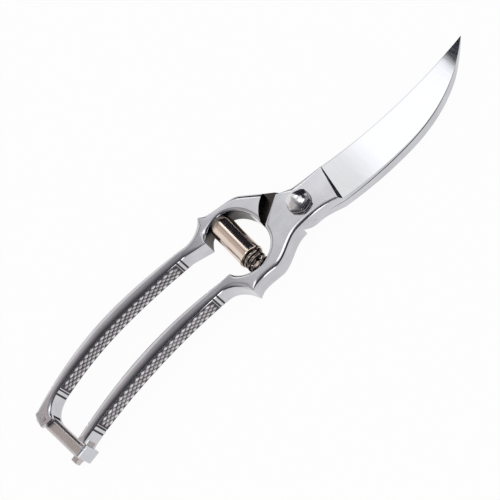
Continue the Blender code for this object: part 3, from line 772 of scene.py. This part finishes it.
def finishFaces(lever):  # the ground blade is bright; the lap, the step wall and the arch walls take the near-black painted shade
    both, limits = bothLevers, faceLimits
    selectFaces(lever, lambda face: abs(face.normal.z) > limits["level"])
    bpy.ops.mesh.bisect(plane_co=(both["lapSplitX"] * mm, 0.0, 0.0), plane_no=(1.0, 0.0, 0.0))
    closeMesh()
    half = both["height"] / 2
    for face in lever.data.polygons:
        spot, facing = face.center / mm, abs(face.normal.z)
        byArch = min(archDistances(*spot.xy)) < limits["archWall"] and both["rootX"] < spot.x < both["shoulderX"]
        wall = facing < limits["upright"] and byArch
        step = facing < limits["upright"] and abs(spot.xy.length - both["step"]) < limits["stepWall"]
        lap = facing > limits["level"] and abs(spot.z - half) < both["lapGap"] and spot.x < both["lapSplitX"]
        if spot.x > both["ricassoX"] and facing > limits["sloping"]:
            face.material_index = 1
        # painted shade: the arch walls, the step wall and the lap take the near-black finish
        elif wall or step or lap:
            face.material_index = 2


def buildLowerLever():
    look, both = lowerLook, bothLevers
    height, half = both["height"], both["height"] / 2
    lever = newForging("lowerLever", lowerOutline(), rimAt(look["endStrap"], look["end"][0]), height)
    # the third finish, scale, is painted shade for the lap, the walls and the grooves
    coatWith(lever, forging, blade, scale)
    wall = both["pivotBody"] + both["bodyPlay"]
    stop = both["stop"] + both["stopPlay"]
    last = 360.0 - math.degrees(math.acos(both["shoulderX"] / wall))
    reach = both["springX"] + both["lowerArch"][1] / 2
    far = both["tip"][0]
    outline = [(both["shoulderX"], -far), (2 * far, -far), (2 * far, far), (reach, far)]
    outline += [(reach, reach * math.tan(math.radians(stop))), *arc((0.0, 0.0), wall, stop, last)]
    joinCut(lever, newPlate("lap", outline, -height, half + both["lapGap"] / 2))
    top = half + both["lapGap"] / 2 + look["spineThick"]
    cutGrind(lever, look["grind"], (both["ricassoX"], both["tip"][1], top), upward=True)
    joinCut(lever, newRod("bore", both["bore"], -height, 2 * height, (0.0, 0.0)))
    seatRadius, seatY = look["footSeat"]
    joinCut(lever, newBall("dish", seatRadius, (both["springX"], seatY, both["springZ"])))
    deep, tall = look["notch"]
    x = look["end"][0]
    strip = [(x - deep, -far), (x + deep, -far), (x + deep, far), (x - deep, far)]
    joinCut(lever, newPlate("notch", strip, half - tall, half + tall))
    cutGrooves(lever, lowerStrap()[2], look)
    left, right = look["ricassoSpan"]
    softenEdges(lever, lambda p: p.z > height - hair and left < p.x < right, look["ricassoRim"])
    near, below = look["shoulderSpot"]
    softenEdges(lever, lambda p: p.z < half and abs(p.x - both["shoulderX"]) < near and p.y < below,
                look["shoulderRim"])
    mergeAndFace(lever)
    finishFaces(lever)
    smooth(lever)
    return lever


def buildUpperLever():
    look, both, latch = upperLook, bothLevers, latchLook
    height, half = both["height"], both["height"] / 2
    rim = rimAt(look["endStrap"], upperEnd()[1][0], look["gripEnd"])
    lever = newForging("upperLever", upperOutline(), rim, height)
    # the third finish, scale, is painted shade for the lap, the walls and the grooves
    coatWith(lever, forging, blade, scale)
    far, step = both["tip"][0], both["step"]
    left = both["springX"] + both["lowerArch"][1] / 2
    outline = [*arc((0.0, 0.0), step, 90.0, 180.0), (left, 0.0), (left, -far), (2 * far, -far), (2 * far, step)]
    lap = half - both["lapGap"] / 2
    joinCut(lever, newPlate("lap", outline, lap, 2 * height))
    joinCut(lever, newPlate("shelf", look["shelf"], look["shelfZ"], lap), "UNION")
    cutGrind(lever, look["grind"], (*both["bellyRoot"], lap - look["spineThick"]), upward=False)
    edgePlace = (both["ricassoX"], both["rearTip"][1], lap - look["edgeThick"])
    cutGrind(lever, look["edgeGrind"], edgePlace, upward=False)
    joinCut(lever, newRod("bore", both["bore"], -height, 2 * height, (0.0, 0.0)))
    joinCut(lever, newRod("seat", both["nutSeat"][0], -height, both["nutSeat"][1], (0.0, 0.0)))
    seatRadius, seatY = look["sleeveSeat"]
    joinCut(lever, newBall("dish", seatRadius, (both["springX"], seatY, both["springZ"])))
    pin, reach = latch["pin"], latch["width"] / 2 + latch["play"]
    lock = latch["lean"] + latch["lockTurn"] + latch["swingPlay"]
    free = latch["lean"] - latch["openTurn"] - latch["swingPlay"]
    eye = arc(pin, reach, lock, 180.0 + free)
    away = 2 * look["knuckle"]
    slot = [polar(eye[0], away, lock - 90.0), *eye, polar(eye[-1], away, free - 90.0)]
    slot += [(pin[0] - away, pin[1] - away)]
    gape = latch["thick"] / 2 + latch["play"]
    joinCut(lever, newPlate("slot", slot, half - gape, half + gape))
    joinCut(lever, newRod("pinHole", latch["pinRadius"] + latch["pinFit"], -height, 2 * height, pin))
    cutGrooves(lever, upperStrap()[2], look)
    softenEdges(lever, lambda p: p.z > height - hair and abs(p.xy.length - step) < look["stepReach"],
                look["stepRim"])
    mergeAndFace(lever)
    finishFaces(lever)
    smooth(lever)
    return lever


lowerLever = buildLowerLever()
print("lower lever:", len(lowerLever.data.polygons), "faces")
upperLever = buildUpperLever()
print("upper lever:", len(upperLever.data.polygons), "faces")


# knurled grips: a bar with raised diamonds on both sides, bent along the strap

def buildGrip(name, middle, look):
    knurl = knurlLook
    lengths = [0.0]
    for a, b in zip(middle, middle[1:]):
        lengths.append(lengths[-1] + math.dist(a, b))

    def runAt(x):  # distance along the strap's middle line
        i = min(range(len(middle)), key=lambda k: abs(middle[k][0] - x))
        return lengths[i] + (middle[i][0] - x)

    start, end = [runAt(x) for x in look["knurl"]]
    count = round((end - start) / knurl["pitch"])
    middleZ, thick = bothLevers["height"] / 2, knurl["blank"]
    bar = newShape(name, bpy.ops.mesh.primitive_cube_add, size=1.0)
    bar.scale = Vector((end - start, 2 * thick, knurl["tall"])) * mm
    bar.location = Vector(((start + end) / 2, 0.0, middleZ)) * mm
    fixPlace(bar)
    for axis, cells in ((0, count), (2, knurl["rows"])):
        selectEdges(bar, lambda a, b: abs(a[axis] - b[axis]) > 1 * mm)
        bpy.ops.mesh.subdivide(number_cuts=cells - 1)
        closeMesh()
    gridPoints = len(bar.data.vertices)
    onSide = faceLimits["side"]
    selectFaces(bar, lambda face: abs(face.normal.y) > onSide)
    bpy.ops.mesh.poke()
    closeMesh()
    openMesh(bar, "EDGE")
    closeMesh()
    faces = {}
    for face in bar.data.polygons:
        for key in face.edge_keys:
            faces.setdefault(key, []).append(face.normal.y)
    for edge in bar.data.edges:  # between two diamonds, so that only their diagonals are left
        old = max(edge.vertices) < gridPoints
        edge.select = old and min(abs(n) for n in faces[edge.key]) > onSide
    bpy.ops.object.mode_set(mode="EDIT")
    bpy.ops.mesh.dissolve_edges(use_verts=False)
    closeMesh()
    selectFaces(bar, lambda face: abs(face.normal.y) > onSide and len(face.vertices) == 4)
    for width, rise in (("valley", "rise"), ("topRim", "topRise")):
        bpy.ops.mesh.inset(thickness=knurl[width] * mm, depth=knurl[rise] * mm, use_individual=True)
    closeMesh()
    reliefAndPaintedShade = bar.data.attributes.new("reliefAndPaintedShade", "FLOAT", "POINT")
    total = knurl["rise"] + knurl["topRise"]
    for vertex in bar.data.vertices:
        # painted highlight: diamonds away from the middle are brighter; low relief paints shade in the valleys;
        # relief also sets the roughness
        highlightShare = ramp(abs(vertex.co.z / mm - middleZ), *knurl["wearAndHighlight"])
        polish = knurl["dull"] + (1.0 - knurl["dull"]) * highlightShare
        reliefAndPaintedShade.data[vertex.index].value = polish * max(0.0, abs(vertex.co.y) / mm - thick) / total
        width = strapWidth(vertex.co.x / mm / lengths[-1], look["endStrap"])
        vertex.co.y += math.copysign(width / 2 - knurl["under"] - thick, vertex.co.y) * mm
    bpy.ops.curve.primitive_bezier_curve_add()
    path = bpy.context.active_object
    path.data.splines.clear()
    path.data.dimensions = "2D"
    line = path.data.splines.new("POLY")
    line.points.add(len(middle) - 1)
    for point, place in zip(line.points, middle):
        point.co = (place[0] * mm, place[1] * mm, 0.0, 1.0)
    applyModifier(bar, "CURVE", object=path, deform_axis="POS_X")
    bpy.data.objects.remove(path)
    mergeAndFace(bar)
    smooth(bar, degrees=knurl["smooth"])
    return bar


lowerGrip = buildGrip("lowerGrip", lowerStrap()[2], lowerLook)
upperGrip = buildGrip("upperGrip", upperStrap()[2], upperLook)
print("grips:", len(lowerGrip.data.polygons), len(upperGrip.data.polygons), "faces")


# pivot: six-sided domed screw, washer, and the sleeve nut behind

pivotLook = {
    "headZ": 11.2, "headHigh": 2.9, "corner": 5.6, "dome": 11.0, "turn": -77.0, "headRim": 0.45,
    "shank": 2.4, "length": 9.0, "washer": (2.7, 5.7, 10.3, 10.9), "washerRim": 0.18,
    "nutHead": (6.6, 2.2), "nutSleeve": 3.7, "nutTop": 9.4, "nutFloor": 1.2, "nutRim": 0.3, "shankPlay": 0.3,
    "spanner": (0.8, 4.4, 1.0), "sharp": (22.0, 50.0),  # least angle of the edges rounded on screw and nut
    "screwSteel": ((0.62, 0.615, 0.62), (0.76, 0.755, 0.77), 0.08),
    "washerSteel": ((0.30, 0.29, 0.30), (0.50, 0.49, 0.50), 0.25),
    "nutSteel": ((0.45, 0.445, 0.45), (0.58, 0.575, 0.585), 0.22),
}


def bevelSharp(obj, width, degrees=30.0):
    applyModifier(obj, "BEVEL", limit_method="ANGLE", angle_limit=math.radians(degrees), segments=3, width=width * mm)


def buildScrew():
    look = pivotLook
    low, high = look["headZ"], look["headZ"] + look["headHigh"]
    head = newRod("pivotScrew", look["corner"], low, high, (0.0, 0.0), sides=6)
    head.rotation_euler.z = math.radians(look["turn"])
    fixPlace(head)
    joinCut(head, newBall("dome", look["dome"], (0.0, 0.0, high - look["dome"])), "INTERSECT")
    bevelSharp(head, look["headRim"], look["sharp"][0])
    shank = newRod("shank", look["shank"], low - look["length"], low + look["headHigh"] / 2, (0.0, 0.0))
    joinCut(head, shank, "UNION")
    mergeAndFace(head)
    smooth(head, degrees=30.0)
    return head


def buildWasher():
    inner, outer, low, high = pivotLook["washer"]
    ring = newTurned("pivotWasher", [(inner, low), (inner, high), (outer, high), (outer, low)], closed=True)
    bevelSharp(ring, pivotLook["washerRim"])
    smooth(ring)
    return ring


def buildNut():
    look = pivotLook
    bore = look["shank"] + look["shankPlay"]
    radius, high = look["nutHead"]
    profile = [(0.0, look["nutFloor"]), (bore, look["nutFloor"]), (bore, look["nutTop"])]
    profile += [(look["nutSleeve"], look["nutTop"]), (look["nutSleeve"], high), (radius, high), (radius, 0.0)]
    nut = newTurned("pivotNut", [*profile, (0.0, 0.0)])
    hole, offset, deep = look["spanner"]
    for side in (-1.0, 1.0):
        joinCut(nut, newRod("spannerHole", hole, -high, deep, (side * offset, 0.0), sides=24))
    bevelSharp(nut, look["nutRim"], look["sharp"][1])
    smooth(nut)
    return nut


pivotScrew = buildScrew()
pivotWasher = buildWasher()
pivotNut = buildNut()
print("pivot: screw, washer and nut")


# sleeved spring

springLook = {
    "seatY": 20.8, "radius": 5.8, "wall": 0.4, "length": 21.6, "lip": 6.0, "lipHigh": 1.0, "lipRim": 0.25,
    "wire": 0.8, "wireSides": 12, "turns": 11, "turnSteps": 40, "coilTop": 19.7, "coilFoot": -6.2, "coilRadius": 4.3,
    "footY": -1.1, "footTop": -6.195, "guide": 2.2, "guideRim": 0.4, "guideLength": 24.5,
    "foot": 4.6, "rock": 8.0, "capStep": 6.0,
}


def layAlongSpring(obj, y):  # the turned piece's top goes towards +Y
    obj.rotation_euler = (-math.pi / 2, 0.0, 0.0)
    obj.location = Vector((bothLevers["springX"], y, bothLevers["springZ"])) * mm
    fixPlace(obj)


def buildSleeve():
    look = springLook
    radius, mouth = look["radius"], -look["length"]
    inner = radius - look["wall"]
    cap = arc((0.0, 0.0), radius, 90.0, 0.0, step=look["capStep"])
    rim, lip, high = look["lipRim"], look["lip"], mouth + look["lipHigh"]
    bead = [(radius, high + rim), (lip - rim, high), (lip, high - rim), (lip, mouth + rim), (lip - rim, mouth)]
    sleeve = newTurned("springSleeve", [*cap, *bead, (inner, mouth), (inner, 0.0), (0.0, 0.0)], steps=72)
    layAlongSpring(sleeve, look["seatY"])
    smooth(sleeve, degrees=40.0)
    return sleeve


def buildGuide():
    look = springLook
    top, side, rim = look["footTop"] + look["guideLength"], look["guide"], look["guideRim"]
    widest = math.degrees(math.asin(look["foot"] / look["rock"]))
    cap = arc((0.0, 0.0), look["rock"], widest - 90.0, -90.0, step=widest / 8)
    profile = [(0.0, top), (side - rim, top), (side, top - rim), (side, look["footTop"])]
    guide = newTurned("springGuide", [*profile, (look["foot"], look["footTop"]), *cap], steps=48)
    layAlongSpring(guide, look["footY"])
    smooth(guide, degrees=40.0)
    return guide


def buildCoil():
    look = springLook
    coil = newShape("coilSpring", bpy.ops.mesh.primitive_circle_add, vertices=look["wireSides"],
                    radius=look["wire"] * mm)
    coil.rotation_euler.x = math.pi / 2
    coil.location.x = look["coilRadius"] * mm
    fixPlace(coil)
    pitch = (look["coilFoot"] - look["coilTop"]) / look["turns"]
    applyModifier(coil, "SCREW", screw_offset=-pitch * mm, iterations=look["turns"], steps=look["turnSteps"],
                  render_steps=look["turnSteps"])
    openMesh(coil, "VERT")
    bpy.ops.mesh.select_all(action="SELECT")
    bpy.ops.mesh.fill_holes(sides=0)
    closeMesh()
    layAlongSpring(coil, look["coilFoot"])
    mergeAndFace(coil)
    smooth(coil, degrees=50.0)
    return coil


springSleeve = buildSleeve()
springGuide = buildGuide()
coilSpring = buildCoil()
print("spring: sleeve, guide and", len(coilSpring.data.polygons), "coil faces")


# swing latch

def buildLatch():
    look, half = latchLook, bothLevers["height"] / 2
    lock = look["lean"] + look["lockTurn"] - 90.0
    held = Vector(lowerStrap()[1][0]) - Vector(look["pin"])
    arm = held.dot(Vector(polar((0.0, 0.0), 1.0, lock))) + look["catchGap"]
    side = look["width"] / 2
    end = -arm - look["catchThick"] / 2
    low = half - look["thick"] / 2
    bar = newPlate("latchBar", [*arc((0.0, 0.0), side, 0.0, 180.0, step=6.0), (-side, end), (side, end)],
                   low, low + look["thick"])
    coatWith(bar, satinSteel("satinLatch", *latchColours))
    roundRims(bar, look["rim"], look["rimSteps"], look["shallow"])
    joinCut(bar, newRod("eye", look["pinRadius"] + look["play"], -2 * half, 4 * half, (0.0, 0.0)))
    top = low + look["thick"] - look["rim"]
    tail = look["lugLength"] - arm
    block = [(-look["lugReach"], -arm), (0.0, -arm), (0.0, tail), (-look["lugReach"], tail)]
    lug = newPlate("lug", block, top - look["lugHeight"], top)
    bevelSharp(lug, look["lugRim"])
    joinCut(bar, lug, "UNION")
    face = -arm - look["catchThick"]
    plate = [(-look["catchLeft"], face), (look["catchRight"], face), (look["catchRight"], -arm),
             (-look["catchLeft"], -arm)]
    catch = newPlate("catch", plate, 0.0, bothLevers["height"])
    softenEdges(catch, lambda p: p.z > 2 * half - hair and abs(p.y - face) < hair, look["catchRidge"],
                look["ridgeSteps"])
    bevelSharp(catch, look["catchRim"])
    joinCut(bar, catch, "UNION", satinSteel("satinCatchPaintedLight", *paintedLightCatchColours))  # the catch is painted brighter and cooler, a painted light for its outward face
    bar.location = Vector((*look["pin"], 0.0)) * mm
    bar.rotation_euler.z = math.radians(look["lean"])
    fixPlace(bar)
    mergeAndFace(bar)
    smooth(bar)
    return bar


def buildPin():
    side = [(latchLook["pinRadius"], z) for z in latchLook["pinSide"]]
    pin = newTurned("latchPin", [*latchLook["pinTop"], *side, *latchLook["pinFoot"]], steps=40)
    pin.location = Vector((*latchLook["pin"], 0.0)) * mm
    fixPlace(pin)
    smooth(pin, degrees=50.0)
    return pin


latchBar = buildLatch()
latchPin = buildPin()
print("latch: bar and pin")


# every piece gets its finish, and every piece but the coil spring its body

def dress(piece, mat, body, slotName, *nodes):
    if mat:
        coatWith(piece, mat)
    if body:
        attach(piece, body)
    if nodes:
        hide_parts(*nodes)


knurled = knurledSteel()
wire = springWire()
screwFinish, washerFinish, nutFinish = [turnedSteel(name, *pivotLook[name])
                                        for name in ("screwSteel", "washerSteel", "nutSteel")]
pinCentre = tuple(Vector((*latchLook["pin"], 0.0)) * mm)
pinFinish = turnedSteel("pinSteel", *latchLook["pinSteel"], pinCentre)
dress(lowerLever, None, "lower", "lower_lever", "lower_lever")
dress(upperLever, None, "upper", "upper_lever", "upper_lever")
dress(lowerGrip, knurled, "lower", "lower_lever")
dress(upperGrip, knurled, "upper", "upper_lever")
dress(pivotScrew, screwFinish, "upper", "pivot_screw", "pivot_screw")
dress(pivotWasher, washerFinish, "upper", "pivot_washer", "pivot_washer")
dress(pivotNut, nutFinish, "upper", "pivot_nut", "pivot_nut")
dress(springSleeve, warmNickel(), "sleeve", "spring_sleeve", "spring_sleeve")
dress(springGuide, wire, "guide", "spring_guide", "spring_guide")
dress(coilSpring, wire, None, "coil_spring", "coil_spring")
dress(latchBar, None, "latch", "latch_bar", "latch_bar")
dress(latchPin, pinFinish, "upper", "latch_pin", "latch_pin")
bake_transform(coilSpring)
print("finishes: all pieces dressed and riding")


# studio

studio = {
    "floor": 3.0, "floorZ": -0.0002, "floorGlow": 0.95, "floorColour": (0.92, 0.92, 0.92, 1.0), "floorRough": 0.9,
    "world": 0.75, "white": (1.0, 1.0, 1.0, 1.0),
    "camera": (-0.0300, -0.3029, 0.4594), "lens": 89.35, "sensor": 36.0,
    "right": (0.7108, -0.5831, -0.3933), "up": (0.7034, 0.5893, 0.3975), "forward": (0.0, 0.5592, -0.8290),
}


def glowOrPlain(tree, plain, glow, share):  # seen directly and in the metal, the surface glows white
    start = Wire(tree)
    ray = start.add("ShaderNodeLightPath", None, None, "Is Camera Ray")
    path = ray.socket.node
    seen = ray + Wire(tree, path.outputs["Is Glossy Ray"]) + Wire(tree, path.outputs["Is Transmission Ray"])
    factor = start.math("MINIMUM", seen, 1.0) * share
    return start.add("ShaderNodeMixShader", None, {0: factor, 1: plain, 2: glow})


def buildFloor():
    floor = newShape("floor", bpy.ops.mesh.primitive_plane_add, size=studio["floor"],
                     location=(0.0, 0.0, studio["floorZ"]))
    mat = bpy.data.materials.new("paleFloor")
    mat.use_nodes = True
    tree = mat.node_tree
    shader = tree.nodes["Principled BSDF"]
    shader.inputs["Base Color"].default_value = studio["floorColour"]
    shader.inputs["Roughness"].default_value = studio["floorRough"]
    glow = Wire(tree).add("ShaderNodeEmission", None, {"Color": studio["white"], "Strength": 1.0})
    mixed = glowOrPlain(tree, Wire(tree, shader.outputs[0]), glow, studio["floorGlow"])
    tree.links.new(mixed.socket, tree.nodes["Material Output"].inputs["Surface"])
    floor.data.materials.append(mat)


def buildWorld():
    world = bpy.data.worlds.new("studioWorld")
    bpy.context.scene.world = world
    world.use_nodes = True
    tree = world.node_tree
    plain = tree.nodes["Background"]
    plain.inputs["Color"].default_value = studio["white"]
    plain.inputs["Strength"].default_value = studio["world"]
    glow = Wire(tree).add("ShaderNodeBackground", None, {"Color": studio["white"], "Strength": 1.0})
    mixed = glowOrPlain(tree, Wire(tree, plain.outputs[0]), glow, 1.0)
    tree.links.new(mixed.socket, tree.nodes["World Output"].inputs["Surface"])


cards = {  # spans and fades in metres, colours at the left and right edges
    "endCard": {"x": (-1.2, -0.24), "y": (0.25, 1.3), "z": 1.0, "fadeX": (0.3, 0.06), "fadeY": (0.2, 0.3),
                "colours": ((0.66, 0.585, 0.565), (0.66, 0.60, 0.585))},
    "gripCard": {"x": (-0.30, -0.03), "y": (-0.8, 2.2), "z": 0.99, "fadeX": (0.06, 0.06), "fadeY": (0.3, 1.3),
                 "colours": ((0.46, 0.42, 0.41), (0.40, 0.40, 0.43))},
    "frontFlag": {"x": (-2.0, 2.0), "y": (-1.5, 0.72), "z": 0.95, "fadeX": (0.3, 0.3), "fadeY": (0.6, 1.1),
                  "colours": ((0.045, 0.045, 0.06),)},
    "keyCard": {"x": (0.150, 0.317), "y": (0.02, 0.42), "z": 0.70, "fadeX": (0.045, 0.008), "fadeY": (0.10, 0.03),
                "colours": ((1.1, 1.1, 1.13),)},
    "rimCard": {"x": (0.05, 0.34), "y": (-0.06, 0.10), "z": 0.69, "fadeX": (0.03, 0.05), "fadeY": (0.05, 0.06),
                "colours": ((2.2, 2.2, 2.25),)},
    "archCard": {"x": (0.05, 0.21), "y": (0.475, 0.80), "z": 0.695, "fadeX": (0.03, 0.02), "fadeY": (0.02, 0.1),
                 "colours": ((2.2, 2.2, 2.25),)},
    "filletCard": {"x": (0.00, 0.20), "y": (0.06, 0.26), "z": 0.685, "fadeX": (0.03, 0.03), "fadeY": (0.03, 0.03),
                   "colours": ((2.2, 2.2, 2.2),)},
    "catchCard": {"x": (-0.30, -0.10), "y": (-1.8, -0.34), "z": 0.68, "fadeX": (0.03, 0.03), "fadeY": (0.3, 0.06),
                  "colours": ((2.8, 2.8, 2.8),)},
    "tipFlag": {"x": (0.311, 0.7), "y": (0.02, 0.46), "z": 0.71, "fadeX": (0.010, 0.2), "fadeY": (0.1, 0.02),
                "colours": ((0.02, 0.02, 0.03),)},
    "sleeveFlag": {"x": (0.20, 3.0), "y": (0.43, 2.4), "z": 0.72, "fadeX": (0.015, 0.3), "fadeY": (0.02, 0.3),
                   "colours": ((0.02, 0.02, 0.03),)},
    "sideFlag": {"x": (1.55, 1.60), "y": (0.1, 2.4), "z": 1.1, "lift": -1.1, "fadeX": (0.1, 0.02),
                 "fadeY": (0.2, 0.3), "colours": ((0.02, 0.02, 0.03),)},  # lift: how much higher the right edge hangs
}


def buildCard(name, look):  # a studio card that only shows in the metal, with edges that fade out
    (left, right), (near, far) = look["x"], look["y"]
    lift = look.get("lift", 0.0)
    length = math.hypot(right - left, lift)
    card = newShape(name, bpy.ops.mesh.primitive_plane_add, size=1.0)
    card.scale = (length, far - near, 1.0)
    card.rotation_euler.y = -math.atan2(lift, right - left)
    card.location = ((left + right) / 2, (near + far) / 2, look["z"] + lift / 2)
    mat = bpy.data.materials.new(name)
    mat.use_nodes = True
    tree = mat.node_tree
    tree.nodes.remove(tree.nodes["Principled BSDF"])
    start = Wire(tree)
    place = start.add("ShaderNodeTexCoord", None, None, "UV")
    split = start.add("ShaderNodeSeparateXYZ", None, {"Vector": place}).socket.node
    across, along = [Wire(tree, split.outputs[i]) for i in (0, 1)]
    mask = 1.0
    for share, extent, fades in ((across, length, look["fadeX"]), (along, far - near, look["fadeY"])):
        for end, fade in ((share, fades[0]), (1.0 - share, fades[1])):
            mask = ease(start, end, 0.0, fade / extent) * mask
    colour = blendColour(start, across, look["colours"][0], look["colours"][-1])
    glow = start.add("ShaderNodeEmission", None, {"Color": colour, "Strength": 1.0})
    clear = start.add("ShaderNodeBsdfTransparent")
    mixed = start.add("ShaderNodeMixShader", None, {0: mask, 1: clear, 2: glow})
    tree.links.new(mixed.socket, tree.nodes["Material Output"].inputs["Surface"])
    card.data.materials.append(mat)
    for ray in ("camera", "diffuse", "shadow", "transmission"):
        setattr(card, "visible_" + ray, False)


def buildCamera():
    data = bpy.data.cameras.new("photoCamera")
    data.lens = studio["lens"]
    data.sensor_width = studio["sensor"]
    camera = bpy.data.objects.new("photoCamera", data)
    bpy.context.scene.collection.objects.link(camera)
    columns = [Vector(studio["right"]), Vector(studio["up"]), -Vector(studio["forward"])]
    camera.matrix_world = Matrix.Translation(studio["camera"]) @ Matrix(columns).transposed().to_4x4()
    bpy.context.scene.camera = camera


buildFloor()
buildWorld()
for cardName, cardFacts in cards.items():
    buildCard(cardName, cardFacts)
buildCamera()
bpy.context.scene.view_settings.view_transform = "Standard"
print("studio: floor, world, cards and camera")
